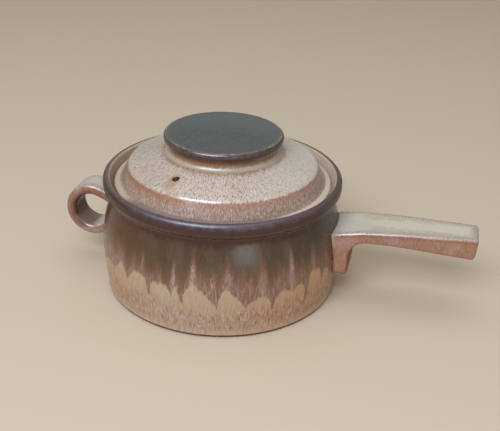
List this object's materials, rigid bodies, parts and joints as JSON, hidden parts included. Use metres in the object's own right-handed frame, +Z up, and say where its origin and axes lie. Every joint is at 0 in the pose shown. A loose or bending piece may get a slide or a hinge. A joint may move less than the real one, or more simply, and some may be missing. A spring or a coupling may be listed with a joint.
{
  "type": "casserole dish",
  "caption": "Round glazed stoneware casserole with a stick handle, a finger loop and a loose lid with a wide disc knob and a steam hole.",
  "frame": {"origin": "middle of the flat foot, on the pot's axis, on the surface that the pot stands on", "axes": "+Z up along the pot's axis, +X along the stick handle, so the finger loop points along -X"},
  "size_m": [0.3204, 0.1854, 0.1224],
  "materials": {
    "bowl_glaze": "glossy dark brown and olive drip glaze over speckled ochre and pink-tan stoneware",
    "handle_glaze": "glossy grey-green glaze that breaks to red-brown on the sides and edges",
    "lid_glaze": "glossy oatmeal glaze with fine brown speckle, breaking to red-brown on the steep band",
    "knob_glaze": "satin dark grey-green top with a glossy purple-brown edge"
  },
  "bodies": {
    "pot": {"bowl": "bowl_glaze", "stick_handle": "handle_glaze", "loop_handle": "handle_glaze"},
    "lid": {"lid_cover": "lid_glaze", "lid_knob": "knob_glaze"}
  },
  "joints": [
    {"name": "lid_lift", "type": "slide", "parent": "pot", "child": "lid", "axis": [0, 0, 1], "range_m": [0, 0.12]}
  ]
}
